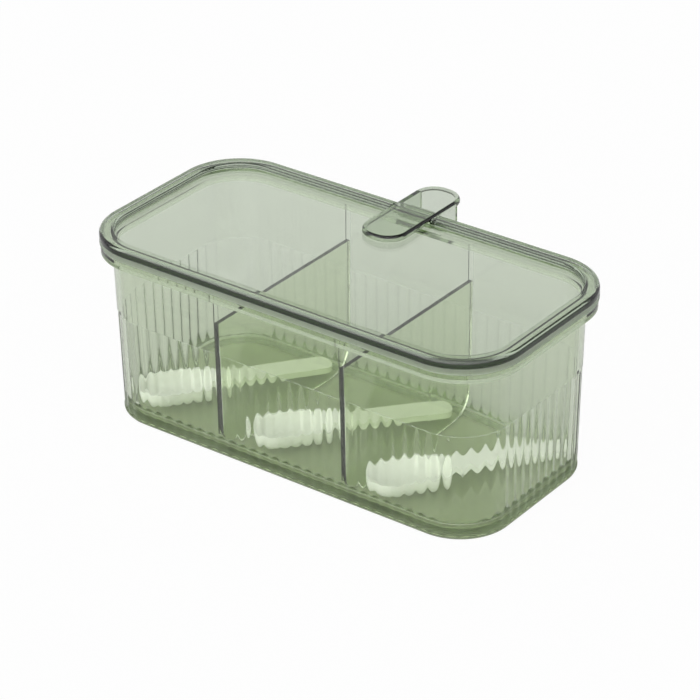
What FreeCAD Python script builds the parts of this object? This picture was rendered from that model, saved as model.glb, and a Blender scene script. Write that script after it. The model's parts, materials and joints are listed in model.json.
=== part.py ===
import FreeCAD, Part
import Sketcher
import math
import os

# A clear spice box: a fluted tub with two lift-out dividers, a tray lid that swings on a pin at the
# rear when its press tab is pushed down, and one spoon in each compartment.
# Millimetres and degrees. The origin is the centre of the tub's underside, X runs along the box,
# the front is at -Y and Z points up.

SIZES = {
    # Outline of the lid, from above
    "lid_length": 220.0,
    "lid_width": 110.4,
    "lid_corner": 29.4,
    # Tub: wall, floor, flange and the lip that the lid closes over
    "wall_height": 80.5,
    "rim_overhang": 5.6,
    "foot_inset": 1.0,
    "wall_thickness": 2.2,
    "floor_thickness": 2.2,
    "floor_rounding": 8.0,
    "base_corner": 25.0,
    "foot_rounding": 1.2,
    "flange_height": 3.6,
    "flange_inset": 0.4,
    "lip_height": 3.7,
    "lip_thickness": 2.2,
    # Flutes round the lower wall
    "base_height": 1.6,
    "flute_top": 51.5,
    "flute_width": 6.05,
    "flute_inset": 0.4,
    "flute_depth": 0.4,
    # Dividers and the grooves that hold them
    "divider_thickness": 2.0,
    "divider_height": 64.3,
    "divider_corner": 12.0,
    "divider_gap": 0.3,
    "groove_depth": 0.6,
    # Lid: rim, skirt, sunken panel and the plug below it
    "rim_height": 3.1,
    "rim_width": 6.8,
    "rim_rounding": 1.8,
    "skirt_thickness": 2.0,
    "skirt_gap": 0.4,
    "skirt_foot_gap": 0.3,
    "skirt_rounding": 0.5,
    "panel_depth": 2.65,
    "panel_thickness": 2.0,
    "plug_gap": 0.7,
    "plug_rounding": 1.0,
    "recess_rounding": 1.0,
    # Press tab across the lid's rear rim
    "tab_length": 57.9,
    "tab_width": 22.4,
    "tab_corner": 10.2,
    "tail_length": 23.4,
    "tab_proud_height": 0.5,
    "plate_thickness": 2.0,
    "tab_skirt_height": 0.85,
    "bead_width": 2.2,
    "tab_rounding": 1.6,
    "tab_foot_rounding": 0.8,
    "tab_gap": 0.3,
    # Hinge behind the flange
    "cheek_thickness": 2.0,
    "cheek_inset": 0.4,
    "cheek_length": 13.9,
    "cheek_gap": 0.8,
    "pivot_gap": 5.3,
    "pivot_depth": 5.8,
    "pin_radius": 1.5,
    "pin_clearance": 0.1,
    "knuckle_radius": 4.0,
    "knuckle_gap": 0.3,
    "knuckle_root_depth": 3.0,
    # Spoons
    "bowl_length": 40.0,
    "bowl_width": 23.0,
    "bowl_corner": 10.8,
    "bowl_depth": 8.6,
    "bowl_inset": 5.6,
    "spoon_wall": 1.4,
    "spoon_margin": 19.95,
    "handle_width": 12.0,
    "handle_thickness": 2.8,
    "handle_corner": 5.0,
    "spoon_tilt_angle": 4.2,
    "spoon_gap": 0.3,
}

# Where the middle of each spoon lies in its compartment, as shares of the compartment's length and
# width, and how far its handle is turned from the compartment's diagonal, in degrees
SPOON_PLACE_SHARES = {
    "left_spoon": (0.073, -0.005),
    "middle_spoon": (0.041, -0.008),
    "right_spoon": (-0.030, -0.020),
}
SPOON_TURNS = {"left_spoon": 5.0, "middle_spoon": 1.9, "right_spoon": 6.5}

# How the bowl's side draws in from rim to floor: share of the depth, share of the slope
BOWL_CURVE_SHARES = ((0.0, 0.0), (0.72, 0.4), (1.0, 1.0))

TOLERANCE = 1e-6


class Size:
    """A number together with the formula on the sheet that it comes from."""

    def __init__(self, number, formula):
        self.number = number
        self.formula = formula

    def __float__(self):
        return float(self.number)

    def __add__(self, other):
        return combine(self, "+", other)

    def __radd__(self, other):
        return combine(other, "+", self)

    def __sub__(self, other):
        return combine(self, "-", other)

    def __rsub__(self, other):
        return combine(other, "-", self)

    def __mul__(self, other):
        return combine(self, "*", other)

    def __rmul__(self, other):
        return combine(other, "*", self)

    def __truediv__(self, other):
        return combine(self, "/", other)

    def __neg__(self):
        return combine(0, "-", self)


def combine(left, sign, right):
    a, b = float(left), float(right)
    results = {"+": a + b, "-": a - b, "*": a * b, "/": a / b if b else math.inf}
    return Size(results[sign], f"({formula_of(left)} {sign} {formula_of(right)})")


def formula_of(value):
    return value.formula if isinstance(value, Size) else repr(value)


def root(value):
    return Size(math.sqrt(float(value)), f"sqrt({formula_of(value)})")


doc = FreeCAD.newDocument("spice_box")
sheet = doc.addObject("Spreadsheet::Sheet", "sizes")
for row, (alias, number) in enumerate(SIZES.items(), start=1):
    sheet.set(f"A{row}", alias)
    sheet.set(f"B{row}", str(number))
    sheet.setAlias(f"B{row}", alias)
doc.recompute()


def size(alias):
    return Size(sheet.get(alias), f"sizes.{alias}")


# Heights and outlines that several pieces share
mouth_length = size("lid_length") - 2 * size("rim_overhang")
mouth_width = size("lid_width") - 2 * size("rim_overhang")
mouth_corner = size("lid_corner") - size("rim_overhang")
flange_top = size("wall_height") + size("flange_height")
lip_top = flange_top + size("lip_height")
rim_top = lip_top + size("rim_height")
skirt_bottom = flange_top + size("skirt_foot_gap")
panel_top = rim_top - size("panel_depth")
plug_bottom = panel_top - size("panel_thickness")
lid_rear = size("lid_width") / 2
recess_rear = lid_rear - size("rim_width")

inner_length = mouth_length - 2 * size("wall_thickness")
inner_width = mouth_width - 2 * size("wall_thickness")
floor_width = inner_width - 2 * size("foot_inset")
cell_length = (inner_length - 2 * size("foot_inset") - 2 * size("divider_thickness")) / 3
cell_pitch = cell_length + size("divider_thickness")
spoon_length = root(cell_length * cell_length + floor_width * floor_width) - size("spoon_margin")
handle_length = spoon_length - size("bowl_length")

lip_inset = size("skirt_thickness") + size("skirt_gap")
throat_inset = lip_inset + size("lip_thickness")
plug_inset = throat_inset + size("plug_gap")

tab_top = rim_top + size("tab_proud_height")
tab_seat = tab_top - size("plate_thickness")
tab_bottom = tab_seat - size("tab_skirt_height")
tab_rear = lid_rear + size("tail_length")
tab_middle = tab_rear - size("tab_length") / 2
pivot_y = lid_rear + size("pivot_gap")
pivot_z = lip_top - size("pivot_depth")
cheek_front = lid_rear + size("cheek_gap")
cheek_round = size("pivot_gap") - size("cheek_gap")
cheek_span = size("tab_width") - 2 * size("cheek_inset")
knuckle_width = cheek_span - 2 * size("cheek_thickness") - 2 * size("knuckle_gap")


def lid_outline(inset):
    """Length, width and corner radius of the lid's outline, drawn in all round."""
    return size("lid_length") - 2 * inset, size("lid_width") - 2 * inset, size("lid_corner") - inset


def taper(height):
    """How far the drafted wall has drawn in at a height, against the mouth."""
    return size("foot_inset") * (1 - height / size("wall_height"))


def wall_outline(height):
    """Length, width and corner radius of the outer wall at a height."""
    draw_in = taper(height)
    share = 1 - height / size("wall_height")
    corner = mouth_corner + (size("base_corner") - mouth_corner) * share
    return mouth_length - 2 * draw_in, mouth_width - 2 * draw_in, corner


def cavity_outline(height):
    """The same for the wall's inner face."""
    length, width, corner = wall_outline(height)
    wall = size("wall_thickness")
    return length - 2 * wall, width - 2 * wall, corner - wall


def bind(thing, prop, value):
    thing.setExpression(prop, formula_of(value))


def new_body(name):
    body = doc.addObject("PartDesign::Body", name)
    body.Label = name
    return body


def sketch_on(body, name, role, height=None, shift=None):
    """A sketch on one of the body's own planes, raised along its normal and shifted along its y."""
    sketch = body.newObject("Sketcher::SketchObject", name)
    plane = [feature for feature in body.Origin.OriginFeatures if feature.Role == role]
    sketch.AttachmentSupport = [(plane[0], "")]
    sketch.MapMode = "FlatFace"
    if height is not None:
        bind(sketch, "AttachmentOffset.Base.z", height)
    if shift is not None:
        bind(sketch, "AttachmentOffset.Base.y", shift)
    return sketch


def constrain(sketch, kind, *args):
    """A constraint whose last argument, if it is a size, stays tied to the sheet."""
    if not isinstance(args[-1], Size):
        sketch.addConstraint(Sketcher.Constraint(kind, *args))
        return
    index = sketch.addConstraint(Sketcher.Constraint(kind, *args[:-1], float(args[-1])))
    bind(sketch, f"Constraints[{index}]", args[-1])


def place_point(sketch, element, point, x, y):
    """Tie one point of an element to its distances from the sketch's origin."""
    for kind, axis, value in (("DistanceX", -2, x), ("DistanceY", -1, y)):
        if not isinstance(value, Size):
            constrain(sketch, "PointOnObject", element, point, axis)
        elif float(value) > 0:
            constrain(sketch, kind, -1, 1, element, point, value)
        else:
            constrain(sketch, kind, element, point, -1, 1, -value)


def rounded_rectangle(sketch, length, width, corner):
    """A rectangle about the sketch's origin with four equal round corners."""
    radius = float(corner)
    reach_x, reach_y = float(length) / 2 - radius, float(width) / 2 - radius
    for quarter in range(4):
        angle = quarter * math.pi / 2
        run, across = (reach_x, reach_y) if quarter % 2 == 0 else (reach_y, reach_x)
        along = FreeCAD.Vector(math.cos(angle), math.sin(angle), 0)
        out = FreeCAD.Vector(math.sin(angle), -math.cos(angle), 0)
        side = out * (across + radius)
        sketch.addGeometry(Part.LineSegment(side - along * run, side + along * run), False)
        circle = Part.Circle(along * run + out * across, FreeCAD.Vector(0, 0, 1), radius)
        sketch.addGeometry(Part.ArcOfCircle(circle, angle - math.pi / 2, angle), False)
    for element in range(8):
        constrain(sketch, "Tangent", element, 2, (element + 1) % 8, 1)
    for line, kind in ((0, "Horizontal"), (2, "Vertical"), (4, "Horizontal"), (6, "Vertical")):
        constrain(sketch, kind, line)
    for arc in (3, 5, 7):
        constrain(sketch, "Equal", 1, arc)
    constrain(sketch, "Symmetric", 1, 3, 5, 3, -1, 1)
    constrain(sketch, "DistanceX", 6, 1, 2, 1, length)
    constrain(sketch, "DistanceY", 0, 1, 4, 1, width)
    constrain(sketch, "Radius", 1, corner)


def polygon(sketch, points):
    """A closed run of straight lines through points given as sizes, added to what is there."""
    first = sketch.GeometryCount
    corners = [FreeCAD.Vector(float(x), float(y), 0) for x, y in points]
    count = len(corners)
    for index in range(count):
        sketch.addGeometry(Part.LineSegment(corners[index], corners[(index + 1) % count]), False)
    for index, (x, y) in enumerate(points):
        constrain(sketch, "Coincident", first + index, 2, first + (index + 1) % count, 1)
        place_point(sketch, first + index, 1, x, y)


def rectangle(sketch, left, right, front, rear):
    polygon(sketch, [(left, front), (right, front), (right, rear), (left, rear)])


def circle_at(sketch, x, y, radius):
    centre = FreeCAD.Vector(float(x), float(y), 0)
    element = sketch.addGeometry(Part.Circle(centre, FreeCAD.Vector(0, 0, 1), float(radius)), False)
    place_point(sketch, element, 3, x, y)
    constrain(sketch, "Radius", element, radius)


def extrude(body, kind, name, sketch, length, side="One side", reverse=False):
    """A pad or a pocket; a pocket has to take material away."""
    doc.recompute()
    before = body.Shape.Volume if body.Tip else 0
    feature = body.newObject(f"PartDesign::{kind}", name)
    feature.Profile = sketch
    feature.SideType = side
    feature.Reversed = reverse
    bind(feature, "Length", length)
    doc.recompute()
    grew = body.Shape.Volume - before
    if (kind == "Pad") != (grew > 0):
        raise RuntimeError(f"{name} changed the volume by {grew}")
    return feature


def loft(body, kind, name, sketches, ruled=True):
    feature = body.newObject(f"PartDesign::{kind}", name)
    feature.Profile = sketches[0]
    feature.Sections = sketches[1:]
    feature.Ruled = ruled
    doc.recompute()
    return feature


def plain_loft(body, kind, name, sections, ruled=True):
    """A loft through rounded rectangles, each given as its outline and its height."""
    sketches = []
    for number, (outline, height) in enumerate(sections):
        sketch = sketch_on(body, f"{name}_section_{number}", "XY_Plane", height)
        rounded_rectangle(sketch, *outline)
        sketches.append(sketch)
    doc.recompute()
    return loft(body, kind, name, sketches, ruled)


def level_edges(shape, height, length=None, width=None):
    """Names of the edges that lie flat at a height, within a length and width if they are given."""
    names = []
    for number, edge in enumerate(shape.Edges, start=1):
        box = edge.BoundBox
        flat = abs(box.ZMin - float(height)) < TOLERANCE and abs(box.ZMax - float(height)) < TOLERANCE
        inside = length is None or (
            max(-box.XMin, box.XMax) < float(length) / 2 + TOLERANCE
            and max(-box.YMin, box.YMax) < float(width) / 2 + TOLERANCE)
        if flat and inside:
            names.append(f"Edge{number}")
    return names


def fillet(body, name, edges, radius):
    base = body.Tip
    feature = body.newObject("PartDesign::Fillet", name)
    feature.Base = (base, edges)
    bind(feature, "Radius", radius)
    doc.recompute()
    return feature


def flute_arcs(outline, waves):
    """Arcs that swing out and in along a rounded rectangle, each running smoothly into the next."""
    length, width, corner = [float(value) for value in outline]
    depth = float(size("flute_depth"))
    arcs = []

    def run_of_waves(count, place):
        halves = 2 * count
        for step in range(halves):
            start, end = place(step / halves, 0), place((step + 1) / halves, 0)
            if step % 2 == 0:
                arcs.append(Part.Arc(start, place((step + 0.5) / halves, depth / 2), end))
            else:
                arcs.append(Part.Arc(end, place((step + 0.5) / halves, -depth / 2), start))

    for quarter in range(4):
        angle = quarter * math.pi / 2
        along = FreeCAD.Vector(math.cos(angle), math.sin(angle), 0)
        out = FreeCAD.Vector(math.sin(angle), -math.cos(angle), 0)
        reaches = (length / 2 - corner, width / 2 - corner)
        run, across = reaches if quarter % 2 == 0 else reaches[::-1]

        def on_side(share, swing):
            return along * (run * (2 * share - 1)) + out * (across + corner + swing)

        def on_corner(share, swing):
            turn = share * math.pi / 2
            spoke = out * math.cos(turn) + along * math.sin(turn)
            return along * run + out * across + spoke * (corner + swing)

        run_of_waves(waves["front"] if quarter % 2 == 0 else waves["side"], on_side)
        run_of_waves(waves["corner"], on_corner)
    return arcs


def flute_counts():
    """How many whole waves fit each stretch of the wall at its foot."""
    length, width, corner = [float(value) for value in wall_outline(size("base_height"))]
    stretches = {"front": length - 2 * corner, "side": width - 2 * corner, "corner": corner * math.pi / 2}
    return {name: max(1, round(run / float(size("flute_width")))) for name, run in stretches.items()}


def fluted_loft(body, lower, upper):
    """The stretch of wall with upright flutes, drafted like the plain wall."""
    waves = flute_counts()
    sketches = []
    for name, height in (("flutes_lower", lower), ("flutes_upper", upper)):
        length, width, corner = wall_outline(height)
        inset = size("flute_inset")
        sketch = sketch_on(body, name, "XY_Plane", height)
        outline = (length - 2 * inset, width - 2 * inset, corner - inset)
        sketch.addGeometry(flute_arcs(outline, waves), False)
        sketches.append(sketch)
    doc.recompute()
    return loft(body, "AdditiveLoft", "flutes", sketches)


def make_tub():
    body = new_body("tub")
    ground, ledge = size("base_height"), size("flute_top")
    foot = sketch_on(body, "foot_outline", "XY_Plane")
    rounded_rectangle(foot, *wall_outline(ground))
    extrude(body, "Pad", "foot", foot, ground)
    fillet(body, "foot_edge", level_edges(body.Shape, 0), size("foot_rounding"))
    fluted_loft(body, ground, ledge)
    wall_top = size("wall_height")
    plain_loft(body, "AdditiveLoft", "band",
               [(wall_outline(ledge), ledge), (wall_outline(wall_top), wall_top)])

    flange = sketch_on(body, "flange_outline", "XY_Plane", wall_top)
    rounded_rectangle(flange, *lid_outline(size("flange_inset")))
    extrude(body, "Pad", "flange", flange, size("flange_height"))
    lip = sketch_on(body, "lip_outline", "XY_Plane", flange_top)
    rounded_rectangle(lip, *lid_outline(lip_inset))
    extrude(body, "Pad", "lip", lip, size("lip_height"))

    floor = size("floor_thickness")
    plain_loft(body, "SubtractiveLoft", "cavity",
               [(cavity_outline(floor), floor), (cavity_outline(lip_top), lip_top)])
    fillet(body, "cavity_rounding", level_edges(body.Shape, floor), size("floor_rounding"))
    throat = sketch_on(body, "throat_outline", "XY_Plane", lip_top)
    rounded_rectangle(throat, *lid_outline(throat_inset))
    extrude(body, "Pocket", "throat", throat, size("lip_height"))

    # Upright grooves in the front and rear walls, which the dividers slide down
    sill, depth = floor + size("floor_rounding"), size("groove_depth")
    low, high = cavity_outline(sill)[1] / 2, cavity_outline(flange_top)[1] / 2
    for name, side in (("left", -1), ("right", 1)):
        grooves = sketch_on(body, f"{name}_groove_outlines", "YZ_Plane", side * cell_pitch / 2)
        polygon(grooves, [(low - depth, sill), (low + depth, sill),
                          (high + depth, flange_top), (high - depth, flange_top)])
        polygon(grooves, [(depth - low, sill), (depth - high, flange_top),
                          (-high - depth, flange_top), (-low - depth, sill)])
        groove_width = size("divider_thickness") + 2 * size("divider_gap")
        extrude(body, "Pocket", f"{name}_grooves", grooves, groove_width, "Symmetric")

    # Hinge block behind the flange: a root under the flange and a round eye about the pin
    eye = size("knuckle_radius")
    block = sketch_on(body, "knuckle_outline", "YZ_Plane")
    root_y = lid_rear - size("knuckle_root_depth")
    polygon(block, [(root_y, pivot_z + eye), (root_y, wall_top),
                    (pivot_y, pivot_z - eye), (pivot_y, pivot_z + eye)])
    extrude(body, "Pad", "knuckle_root", block, knuckle_width, "Symmetric")
    ring = sketch_on(body, "knuckle_ring", "YZ_Plane")
    circle_at(ring, pivot_y, pivot_z, eye)
    extrude(body, "Pad", "knuckle_eye", ring, knuckle_width, "Symmetric")
    bore = sketch_on(body, "knuckle_bore", "YZ_Plane")
    circle_at(bore, pivot_y, pivot_z, size("pin_radius"))
    extrude(body, "Pocket", "knuckle_hole", bore, size("tab_width"), "Symmetric")
    return body


def make_divider(name, side):
    """A plate across the tub, with its lower corners rounded to pass over the floor's rounding."""
    body = new_body(name)
    floor, top = size("floor_thickness"), size("floor_thickness") + size("divider_height")
    reach = size("groove_depth") - size("divider_gap")
    foot = cavity_outline(floor)[1] / 2 + reach
    head = cavity_outline(top)[1] / 2 + reach
    plate = sketch_on(body, f"{name}_outline", "YZ_Plane")
    polygon(plate, [(-foot, floor), (foot, floor), (head, top), (-head, top)])
    extrude(body, "Pad", f"{name}_plate", plate, size("divider_thickness"), "Symmetric")
    corners = []
    for number, edge in enumerate(body.Shape.Edges, start=1):
        middle = edge.CenterOfMass
        if abs(middle.x) < TOLERANCE and abs(abs(middle.y) - float(foot)) < TOLERANCE:
            corners.append(f"Edge{number}")
    fillet(body, f"{name}_corners", corners, size("divider_corner"))
    bind(body, "Placement.Base.x", side * cell_pitch / 2)
    return body


def make_lid():
    body = new_body("lid")
    rim = sketch_on(body, "rim_outline", "XY_Plane", skirt_bottom)
    rounded_rectangle(rim, size("lid_length"), size("lid_width"), size("lid_corner"))
    extrude(body, "Pad", "rim", rim, rim_top - skirt_bottom)
    fillet(body, "rim_edge", level_edges(body.Shape, rim_top), size("rim_rounding"))
    fillet(body, "skirt_edge", level_edges(body.Shape, skirt_bottom), size("skirt_rounding"))

    # Channel under the rim for the tub's lip, with the skirt outside it and the plug inside it
    channel = sketch_on(body, "channel_outline", "XY_Plane", skirt_bottom)
    rounded_rectangle(channel, *lid_outline(size("skirt_thickness")))
    extrude(body, "Pocket", "channel", channel, lip_top - skirt_bottom, reverse=True)
    plug = sketch_on(body, "plug_outline", "XY_Plane", lip_top)
    rounded_rectangle(plug, *lid_outline(plug_inset))
    extrude(body, "Pad", "plug", plug, lip_top - plug_bottom, reverse=True)
    fillet(body, "plug_edge", level_edges(body.Shape, plug_bottom), size("plug_rounding"))

    recess_outline = lid_outline(size("rim_width"))
    recess = sketch_on(body, "recess_outline", "XY_Plane", rim_top)
    rounded_rectangle(recess, *recess_outline)
    extrude(body, "Pocket", "recess", recess, size("panel_depth"))
    fillet(body, "recess_foot", level_edges(body.Shape, panel_top), size("recess_rounding"))
    edge = level_edges(body.Shape, rim_top, *recess_outline[:2])
    fillet(body, "recess_edge", edge, size("recess_rounding"))

    # Seat across the rear rim for the press tab, and a notch in the skirt for the hinge
    half = size("tab_width") / 2 + size("tab_gap")
    seat = sketch_on(body, "seat_outline", "XY_Plane", rim_top)
    rectangle(seat, -half, half, recess_rear - size("recess_rounding"), lid_rear + size("tab_gap"))
    extrude(body, "Pocket", "seat", seat, rim_top - tab_seat)
    notch = sketch_on(body, "notch_outline", "XY_Plane", skirt_bottom)
    rectangle(notch, -half, half, lid_rear - lip_inset, lid_rear + size("tab_gap"))
    extrude(body, "Pocket", "hinge_notch", notch, lip_top - skirt_bottom, reverse=True)
    return body


def make_press_tab():
    body = new_body("press_tab")
    plate = sketch_on(body, "tab_outline", "XY_Plane", tab_bottom, tab_middle)
    rounded_rectangle(plate, size("tab_width"), size("tab_length"), size("tab_corner"))
    extrude(body, "Pad", "tab_blank", plate, tab_top - tab_bottom)
    fillet(body, "tab_edge", level_edges(body.Shape, tab_top), size("tab_rounding"))
    fillet(body, "tab_foot", level_edges(body.Shape, tab_bottom), size("tab_foot_rounding"))

    bead = size("bead_width")
    hollow = sketch_on(body, "hollow_outline", "XY_Plane", tab_bottom, tab_middle)
    rounded_rectangle(hollow, size("tab_width") - 2 * bead, size("tab_length") - 2 * bead,
                      size("tab_corner") - bead)
    extrude(body, "Pocket", "hollow", hollow, size("tab_skirt_height"), reverse=True)

    # The skirt stops where the tab crosses the lid's rim
    half, gap = size("tab_width") / 2 + size("tab_gap"), size("tab_gap")
    saddle = sketch_on(body, "saddle_outline", "XY_Plane", tab_bottom)
    rectangle(saddle, -half, half, recess_rear - gap, lid_rear + gap)
    extrude(body, "Pocket", "saddle", saddle, size("tab_skirt_height"), reverse=True)

    # Two cheeks behind the rim, round about the pin at their front
    cheek_rear, cheek_foot = cheek_front + size("cheek_length"), pivot_z - cheek_round
    cheeks = sketch_on(body, "cheek_outline", "YZ_Plane")
    rectangle(cheeks, cheek_front, cheek_rear, cheek_foot, tab_seat + size("plate_thickness") / 2)
    extrude(body, "Pad", "cheek_block", cheeks, cheek_span, "Symmetric")
    fillet(body, "cheek_corners", level_edges_across(body.Shape, cheek_foot), cheek_round)
    between = sketch_on(body, "between_outline", "YZ_Plane")
    rectangle(between, cheek_front - gap, cheek_rear + gap, cheek_foot - gap, tab_seat)
    extrude(body, "Pocket", "between_cheeks", between, cheek_span - 2 * size("cheek_thickness"), "Symmetric")
    hole = sketch_on(body, "pin_hole_outline", "YZ_Plane")
    circle_at(hole, pivot_y, pivot_z, size("pin_radius") + size("pin_clearance"))
    extrude(body, "Pocket", "pin_hole", hole, size("tab_width"), "Symmetric")
    return body


def level_edges_across(shape, height):
    """Names of the straight edges along X at a height."""
    names = []
    for number, edge in enumerate(shape.Edges, start=1):
        box = edge.BoundBox
        flat = abs(box.ZMin - float(height)) < TOLERANCE and abs(box.ZMax - float(height)) < TOLERANCE
        if flat and box.YLength < TOLERANCE:
            names.append(f"Edge{number}")
    return names


def make_hinge_pin():
    pin = doc.addObject("Part::Cylinder", "hinge_pin")
    pin.Label = "hinge_pin"
    bind(pin, "Radius", size("pin_radius"))
    bind(pin, "Height", cheek_span)
    pin.Placement.Rotation = FreeCAD.Rotation(FreeCAD.Vector(0, 1, 0), 90)
    for axis, value in zip("xyz", (-cheek_span / 2, pivot_y, pivot_z)):
        bind(pin, f"Placement.Base.{axis}", value)
    return pin


def bowl_sections(wall):
    """Outlines of the bowl from its rim to its floor, drawn in by a wall all round."""
    depth = size("bowl_depth") - wall
    sections = []
    for depth_share, slope_share in BOWL_CURVE_SHARES:
        inset = wall + size("bowl_inset") * slope_share
        outline = (size("bowl_length") - 2 * inset, size("bowl_width") - 2 * inset,
                   size("bowl_corner") - inset)
        sections.append((outline, -(depth * depth_share)))
    return sections


def make_spoon(name, cell):
    """A deep spoon with a flat handle, lying on the floor with its handle towards the rear."""
    body = new_body(name)
    depth, wall = size("bowl_depth"), size("spoon_wall")
    plain_loft(body, "AdditiveLoft", f"{name}_bowl", bowl_sections(0 * wall), ruled=False)

    # The handle starts inside the bowl's end wall, and the hollow then trims it
    handle = sketch_on(body, f"{name}_handle_outline", "XY_Plane")
    start = size("bowl_length") / 2 - size("handle_corner")
    end = size("bowl_length") / 2 + handle_length
    half = size("handle_width") / 2
    rectangle(handle, start, end, -half, half)
    extrude(body, "Pad", f"{name}_handle", handle, size("handle_thickness"), reverse=True)
    tips = []
    for number, edge in enumerate(body.Shape.Edges, start=1):
        box = edge.BoundBox
        if box.XMin > float(end) - TOLERANCE and box.YLength < TOLERANCE:
            tips.append(f"Edge{number}")
    fillet(body, f"{name}_handle_end", tips, size("handle_corner"))
    plain_loft(body, "SubtractiveLoft", f"{name}_hollow", bowl_sections(wall), ruled=False)

    # Height of the bowl's rim over the floor once the spoon lies tilted on its bowl
    tilt = math.radians(float(size("spoon_tilt_angle")))
    heel = size("bowl_length") / 2 - size("bowl_inset")
    rise = size("floor_thickness") + size("spoon_gap") + depth * math.cos(tilt) + heel * math.sin(tilt)
    across_share, along_share = SPOON_PLACE_SHARES[name]
    turn = math.atan2(float(floor_width), float(cell_length)) + math.radians(SPOON_TURNS[name])
    spin = FreeCAD.Rotation(FreeCAD.Vector(0, 0, 1), math.degrees(turn))
    lean = FreeCAD.Rotation(FreeCAD.Vector(0, 1, 0), float(size("spoon_tilt_angle")))
    body.Placement.Rotation = spin * lean
    place = (cell * cell_pitch + cell_length * across_share - handle_length * math.cos(turn) / 2,
             floor_width * along_share - handle_length * math.sin(turn) / 2, rise)
    for axis, value in zip("xyz", place):
        bind(body, f"Placement.Base.{axis}", value)
    return body


pieces = [make_tub(), make_divider("left_divider", -1), make_divider("right_divider", 1), make_lid()]
pieces += [make_press_tab(), make_hinge_pin()]
for number, name in enumerate(SPOON_TURNS):
    pieces.append(make_spoon(name, number - 1))
doc.recompute()

for thing in doc.Objects:
    if "Invalid" in thing.State or "Error" in thing.State:
        raise RuntimeError(f"{thing.Label} failed: {thing.State}")
os.makedirs("parts", exist_ok=True)
for piece in pieces:
    shape = piece.Shape
    if shape.isNull() or not shape.isValid() or len(shape.Solids) != 1:
        raise RuntimeError(f"{piece.Label} is not one valid solid")
for piece in pieces:
    piece.Shape.exportStep(f"parts/{piece.Label}.step")
    box = piece.Shape.BoundBox
    print(f"{piece.Label}: {piece.Shape.Volume:.0f} mm3, Z {box.ZMin:.2f} to {box.ZMax:.2f}")
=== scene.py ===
# A clear green spice box with three white spoons, on a white floor under soft light.
# Metres and degrees, in the frame of the solids: X along the box, the front at -Y, Z up.

import json
import math

import bmesh
import bpy
from mathutils import Matrix, Vector


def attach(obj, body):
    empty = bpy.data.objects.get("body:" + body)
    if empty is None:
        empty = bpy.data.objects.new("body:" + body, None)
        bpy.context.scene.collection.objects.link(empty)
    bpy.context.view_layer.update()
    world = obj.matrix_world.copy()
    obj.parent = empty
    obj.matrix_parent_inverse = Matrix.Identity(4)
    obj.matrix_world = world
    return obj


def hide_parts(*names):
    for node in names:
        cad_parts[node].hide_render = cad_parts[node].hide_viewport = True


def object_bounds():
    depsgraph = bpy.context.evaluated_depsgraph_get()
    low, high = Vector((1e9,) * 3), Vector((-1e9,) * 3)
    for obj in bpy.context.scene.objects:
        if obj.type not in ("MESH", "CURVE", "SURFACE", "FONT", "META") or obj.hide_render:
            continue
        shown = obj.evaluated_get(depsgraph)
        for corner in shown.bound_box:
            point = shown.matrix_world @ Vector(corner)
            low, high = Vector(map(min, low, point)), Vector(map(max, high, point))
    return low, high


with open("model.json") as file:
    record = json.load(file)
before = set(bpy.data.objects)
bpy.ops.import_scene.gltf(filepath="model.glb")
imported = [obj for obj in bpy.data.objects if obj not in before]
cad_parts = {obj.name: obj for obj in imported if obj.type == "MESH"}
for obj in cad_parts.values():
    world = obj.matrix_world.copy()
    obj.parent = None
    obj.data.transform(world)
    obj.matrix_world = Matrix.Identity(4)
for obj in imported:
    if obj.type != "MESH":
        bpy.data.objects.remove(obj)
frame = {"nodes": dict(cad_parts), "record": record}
cad_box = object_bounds()
scene = bpy.context.scene

WHITE = (1.0, 1.0, 1.0, 1.0)

# Camera at the photograph's angle; the picture is square
CAMERA_PLACE = Vector((0.7296, -0.9633, 0.7144))
CAMERA_AIM = Vector((-0.0105, 0.0168, 0.0316))
CAMERA_ROLL = -0.62
CAMERA_LENS = 160.13
CAMERA_SENSOR = 36.0
CAMERA_REACH = 20.0

# Light, all of it from the sky: a broad glow above the front, and a pale surround that darkens overhead.
# The glow grows as a direction leans to its side, and the surround fades as a direction rises.
GLOW_SIDE = Vector((0.1, -0.75, 0.66)).normalized()
GLOW_LEAN = (0.2, 0.9)
GLOW_LEVELS = (0.0, 1.55)
SURROUND_RISE = (0.4, 0.9)
SURROUND_LEVELS = (0.9, 0.1)

# How often light may pass through or off the pieces: a look through the box meets many clear faces
LIGHT_BOUNCES = 32

# Floor: how far below the box it lies, its half width, its shade and roughness,
# and how white it is made to look to the eye and through the clear pieces
FLOOR_DROP = 0.0003
FLOOR_REACH = 6.0
FLOOR_SHADE = (0.66, 0.66, 0.66, 1.0)
FLOOR_ROUGHNESS = 0.9
FLOOR_WHITE = 0.95
FLOOR_THROUGH = 0.12

# Patterns are a scale and a detail, and reliefs a strength and a height.

# Clear plastic: how it bends light, its roughness where it is clean, what haze adds, and its flow ripples
PLASTIC_BENDING = 1.5
CLEAN_ROUGHNESS = 0.005
HAZE_ROUGHNESS = 0.03
HAZE_PATTERN = (45.0, 4.0)
RIPPLE_PATTERN = (70.0, 1.0)
RIPPLE_RELIEF = (0.1, 0.0002)

# Tints as what the plastic takes out of light over a metre, in red, green and blue
TUB_ABSORPTION = (42.0, 32.0, 54.0)
DIVIDER_ABSORPTION = (84.0, 56.0, 138.0)
LID_ABSORPTION = (76.0, 58.0, 86.0)
TAB_ABSORPTION = (150.0, 115.0, 175.0)

# The tub holds part of its tint at its surface. Its underside, up to a small height,
# is moulded matt and is deeper in tint.
WALL_TINT = (0.90, 0.93, 0.865, 1.0)
UNDERSIDE_HEIGHT = 0.0002
UNDERSIDE_TINT = (0.88, 0.95, 0.68, 1.0)
UNDERSIDE_ROUGHNESS = 0.6

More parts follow.
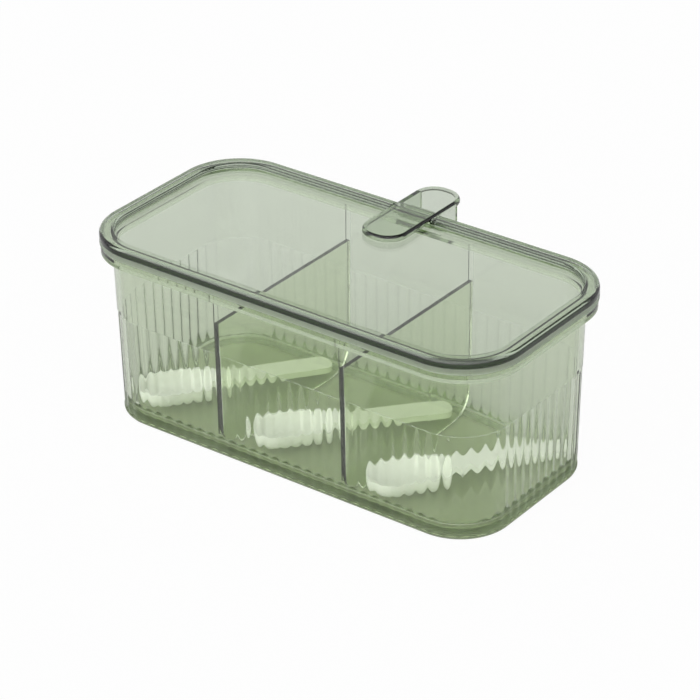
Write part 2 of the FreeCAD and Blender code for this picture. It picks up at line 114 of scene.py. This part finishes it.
# The lid's outline is a rounded rectangle: half its size, and its corner radius.
# The outer edge of the rim has a dark line of painted shade, standing in for the dark that the clear edge
# shows,
# and the skirt below it is moulded matt: reaches are measured outwards from the outline, and heights from
# the foot of the tub.
LID_HALF = Vector((0.110, 0.0552, 0.0))
LID_CORNER = 0.0294
PAINTED_LINE_REACH = (-0.00045, -0.00015)
EDGE_HEIGHT = (0.0872, 0.0878)
# painted shade: the near-black colour of the dark line on the rim's outer edge
EDGE_PAINTED_SHADE = (0.002, 0.005, 0.001, 1.0)
SKIRT_REACH = (-0.0030, -0.0024)
SKIRT_ROUGHNESS = 0.5

# Spoons: two close whites that cloud into each other, satin, with a fine grain
SPOON_WHITES = ((0.87, 0.87, 0.86, 1.0), (0.91, 0.91, 0.90, 1.0))
SATIN_ROUGHNESS = 0.32
CLOUD_ROUGHNESS = 0.12
CLOUD_PATTERN = (60.0, 3.0)
GRAIN_PATTERN = (2500.0, 2.0)
GRAIN_RELIEF = (0.15, 0.00005)

# Pieces that lie on others are lifted clear of them by a hair, so that no two clear faces meet
LIFTS = {"left_divider": 0.00006, "right_divider": 0.00006, "lid": 0.00006, "press_tab": 0.00012}
WELD = 1e-7


class Value:
    """What a node gives out; sums on it add Math nodes."""

    def __init__(self, tree, socket):
        self.tree = tree
        self.socket = socket

    def combine(self, operation, left, right):
        return self.tree.add("ShaderNodeMath", {"operation": operation}, {0: left, 1: right})

    def __add__(self, other):
        return self.combine("ADD", self, other)

    def __radd__(self, other):
        return self.combine("ADD", other, self)

    def __sub__(self, other):
        return self.combine("SUBTRACT", self, other)

    def __rsub__(self, other):
        return self.combine("SUBTRACT", other, self)

    def __mul__(self, other):
        return self.combine("MULTIPLY", self, other)

    def __rmul__(self, other):
        return self.combine("MULTIPLY", other, self)

    def __lt__(self, other):
        return self.combine("LESS_THAN", self, other)

    def __gt__(self, other):
        return self.combine("GREATER_THAN", self, other)


class Tree:
    """The nodes of one material or world."""

    def __init__(self, owner):
        owner.use_nodes = True
        self.nodes = owner.node_tree.nodes
        self.links = owner.node_tree.links
        self.nodes.clear()

    def add(self, kind, settings=None, sockets=None, output=0):
        """A node with its settings made first, then its sockets set or linked."""
        node = self.nodes.new(kind)
        for name, setting in (settings or {}).items():
            setattr(node, name, setting)
        for name, value in (sockets or {}).items():
            if isinstance(value, Value):
                self.links.new(value.socket, node.inputs[name])
            else:
                node.inputs[name].default_value = value
        return Value(self, node.outputs[output]) if node.outputs else None


def fade(tree, value, stretch, levels=(0.0, 1.0)):
    """A smooth run from one level to another while the value crosses a stretch."""
    return tree.add("ShaderNodeMapRange", {"interpolation_type": "SMOOTHSTEP"}, {
        "Value": value,
        "From Min": stretch[0], "From Max": stretch[1],
        "To Min": levels[0], "To Max": levels[1],
    })


def vector(tree, operation, left, right=(0.0, 0.0, 0.0), output="Vector"):
    return tree.add("ShaderNodeVectorMath", {"operation": operation}, {0: left, 1: right}, output)


def height_of(tree, place):
    return tree.add("ShaderNodeSeparateXYZ", sockets={0: place}, output="Z")


def pattern(tree, place, scale, detail):
    """Soft noise over a piece, between 0 and 1."""
    return tree.add("ShaderNodeTexNoise", sockets={"Vector": place, "Scale": scale, "Detail": detail})


def relief(tree, height, strength, depth):
    return tree.add("ShaderNodeBump", sockets={"Height": height, "Strength": strength, "Distance": depth})


def blend(tree, share, first, second):
    """A colour that goes from the first to the second as the share goes from 0 to 1."""
    return tree.add("ShaderNodeMix", {"data_type": "RGBA"}, {
        "Factor": share, "A": first, "B": second}, output="Result")


def nowhere(tree, place):
    return 0.0


def underside(tree, place):
    """1 on the flat underside of the tub."""
    return height_of(tree, place) < UNDERSIDE_HEIGHT


def lid_reach(tree, place):
    """How far a place lies outside the lid's outline, seen from above."""
    in_plan = Vector((1.0, 1.0, 0.0))
    corner_middle = LID_HALF - LID_CORNER * in_plan
    beyond = vector(tree, "SUBTRACT", vector(tree, "ABSOLUTE", place), corner_middle)
    outward = vector(tree, "MULTIPLY", vector(tree, "MAXIMUM", beyond), in_plan)
    return vector(tree, "LENGTH", outward, output="Value") - LID_CORNER


def lid_painted_shade_line(tree, place):
    """1 on the outer edge of the lid's rim, where a dark line of shade is painted."""
    raised = fade(tree, height_of(tree, place), EDGE_HEIGHT)
    return raised * fade(tree, lid_reach(tree, place), PAINTED_LINE_REACH)


def lid_skirt(tree, place):
    """1 on the lid's skirt, below the painted dark line."""
    lowered = fade(tree, height_of(tree, place), EDGE_HEIGHT, (1.0, 0.0))
    return lowered * fade(tree, lid_reach(tree, place), SKIRT_REACH)


def clear_plastic(name, absorption, plain=WHITE, tint_or_painted_shade_area=nowhere, tint_or_painted_shade=WHITE, matt=nowhere, roughness=0.0):
    """Clear moulded plastic, coloured through its depth, with faint flow ripples and a little handling
    haze.
    One area may take a colour of its own, either the plastic's deeper tone or a painted shade, and one a
    roughness."""
    material = bpy.data.materials.new(name)
    tree = Tree(material)
    place = tree.add("ShaderNodeTexCoord", output="Object")
    haze = pattern(tree, place, *HAZE_PATTERN)
    ripples = pattern(tree, place, *RIPPLE_PATTERN)
    surface = tree.add("ShaderNodeBsdfPrincipled", sockets={
        "Base Color": blend(tree, tint_or_painted_shade_area(tree, place), plain, tint_or_painted_shade),
        "Roughness": CLEAN_ROUGHNESS + HAZE_ROUGHNESS * haze + roughness * matt(tree, place),
        "IOR": PLASTIC_BENDING,
        "Transmission Weight": 1.0,
        "Normal": relief(tree, ripples, *RIPPLE_RELIEF),
    })
    density = max(absorption)
    passed = [1.0 - taken / density for taken in absorption]
    depth = tree.add("ShaderNodeVolumeAbsorption", sockets={"Color": (*passed, 1.0), "Density": density})
    tree.add("ShaderNodeOutputMaterial", sockets={"Surface": surface, "Volume": depth})
    return material


def satin_white(name):
    """Opaque white plastic with a fine satin grain."""
    material = bpy.data.materials.new(name)
    tree = Tree(material)
    place = tree.add("ShaderNodeTexCoord", output="Object")
    cloud = pattern(tree, place, *CLOUD_PATTERN)
    grain = pattern(tree, place, *GRAIN_PATTERN)
    surface = tree.add("ShaderNodeBsdfPrincipled", sockets={
        "Base Color": blend(tree, cloud, *SPOON_WHITES),
        "Roughness": SATIN_ROUGHNESS + CLOUD_ROUGHNESS * cloud,
        "Normal": relief(tree, grain, *GRAIN_RELIEF),
    })
    tree.add("ShaderNodeOutputMaterial", sockets={"Surface": surface})
    return material


def white_floor(name):
    """White to the eye, a little of that through the clear pieces, and matt and pale to the light on it."""
    material = bpy.data.materials.new(name)
    tree = Tree(material)
    seen = tree.add("ShaderNodeLightPath", output="Is Camera Ray")
    through = tree.add("ShaderNodeLightPath", output="Is Transmission Ray")
    matt = tree.add("ShaderNodeBsdfPrincipled", sockets={
        "Base Color": FLOOR_SHADE, "Roughness": FLOOR_ROUGHNESS})
    white = tree.add("ShaderNodeEmission", sockets={"Color": WHITE, "Strength": 1.0})
    shown = FLOOR_WHITE * seen + FLOOR_THROUGH * through
    mixed = tree.add("ShaderNodeMixShader", sockets={0: shown, 1: matt, 2: white})
    tree.add("ShaderNodeOutputMaterial", sockets={"Surface": mixed})
    return material


def add_object(name, data):
    thing = bpy.data.objects.new(name, data)
    scene.collection.objects.link(thing)
    return thing


def body_of(node):
    bodies = frame["record"]["behaviour"]["bodies"]
    return next(body for body, nodes in bodies.items() if node in nodes)


def lifted_copy(node, lift):
    """A welded copy of a solid's mesh, raised a hair, with the solid's own smooth shading."""
    mesh = frame["nodes"][node].data.copy()
    shading = [corner.vector.copy() for corner in mesh.corner_normals]
    corners = len(mesh.loops)
    shape = bmesh.new()
    shape.from_mesh(mesh)
    bmesh.ops.remove_doubles(shape, verts=shape.verts, dist=WELD)
    bmesh.ops.translate(shape, verts=shape.verts, vec=(0, 0, lift))
    shape.to_mesh(mesh)
    shape.free()
    if len(mesh.loops) != corners:
        raise RuntimeError(f"welding {node} lost faces")
    mesh.normals_split_custom_set(shading)
    piece = add_object(f"{node}_clear", mesh)
    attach(piece, body_of(node))
    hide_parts(node)
    return piece


def add_pieces():
    tub = clear_plastic("clear_green", TUB_ABSORPTION, WALL_TINT, tint_or_painted_shade_area=underside, tint_or_painted_shade=UNDERSIDE_TINT,
                        matt=underside, roughness=UNDERSIDE_ROUGHNESS)
    divider = clear_plastic("clear_deep_green", DIVIDER_ABSORPTION)
    # The lid's rim edge gets a near-black painted shade: a dark line where the clear edge looks dark.
    lid = clear_plastic("clear_pale_green", LID_ABSORPTION, tint_or_painted_shade_area=lid_painted_shade_line, tint_or_painted_shade=EDGE_PAINTED_SHADE,
                        matt=lid_skirt, roughness=SKIRT_ROUGHNESS)
    tab = clear_plastic("clear_mid_green", TAB_ABSORPTION)
    spoon = satin_white("satin_white")
    finishes = {
        "tub": tub,
        "left_divider": divider, "right_divider": divider,
        "lid": lid,
        "press_tab": tab, "hinge_pin": tab,
        "left_spoon": spoon, "middle_spoon": spoon, "right_spoon": spoon,
    }
    for part in frame["record"]["subparts"]:
        node = part["node"]
        shown = frame["nodes"][node]
        if node in LIFTS:
            shown = lifted_copy(node, LIFTS[node])
        shown.data.materials.clear()
        shown.data.materials.append(finishes[node])


def add_floor():
    shape = bmesh.new()
    bmesh.ops.create_grid(shape, x_segments=1, y_segments=1, size=FLOOR_REACH)
    bmesh.ops.translate(shape, verts=shape.verts, vec=(0, 0, cad_box[0][2] - FLOOR_DROP))
    mesh = bpy.data.meshes.new("floor")
    shape.to_mesh(mesh)
    shape.free()
    mesh.materials.append(white_floor("white_floor"))
    floor = add_object("floor", mesh)


def add_sky():
    """The light, and plain white to the eye."""
    sky = bpy.data.worlds.new("studio")
    tree = Tree(sky)
    seen = tree.add("ShaderNodeLightPath", output="Is Camera Ray")
    towards = tree.add("ShaderNodeTexCoord", output="Generated")
    lean = vector(tree, "DOT_PRODUCT", towards, GLOW_SIDE, output="Value")
    glow = fade(tree, lean, GLOW_LEAN, GLOW_LEVELS)
    surround = fade(tree, height_of(tree, towards), SURROUND_RISE, SURROUND_LEVELS)
    level = glow + surround
    light = tree.add("ShaderNodeBackground", sockets={
        "Color": WHITE, "Strength": level + (1.0 - level) * seen})
    tree.add("ShaderNodeOutputWorld", sockets={"Surface": light})
    scene.world = sky


def add_camera():
    data = bpy.data.cameras.new("camera")
    data.sensor_width = CAMERA_SENSOR
    data.lens = CAMERA_LENS
    data.clip_end = CAMERA_REACH
    camera = add_object("camera", data)
    look = (CAMERA_AIM - CAMERA_PLACE).to_track_quat("-Z", "Y").to_matrix().to_4x4()
    roll = Matrix.Rotation(math.radians(CAMERA_ROLL), 4, "Z")
    camera.matrix_world = Matrix.Translation(CAMERA_PLACE) @ look @ roll
    scene.camera = camera


add_pieces()
add_floor()
add_sky()
add_camera()

scene.view_settings.view_transform = "Standard"
scene.cycles.max_bounces = LIGHT_BOUNCES
scene.cycles.transmission_bounces = LIGHT_BOUNCES
scene.cycles.blur_glossy = 0.0  # what shows through the clear pieces stays sharp
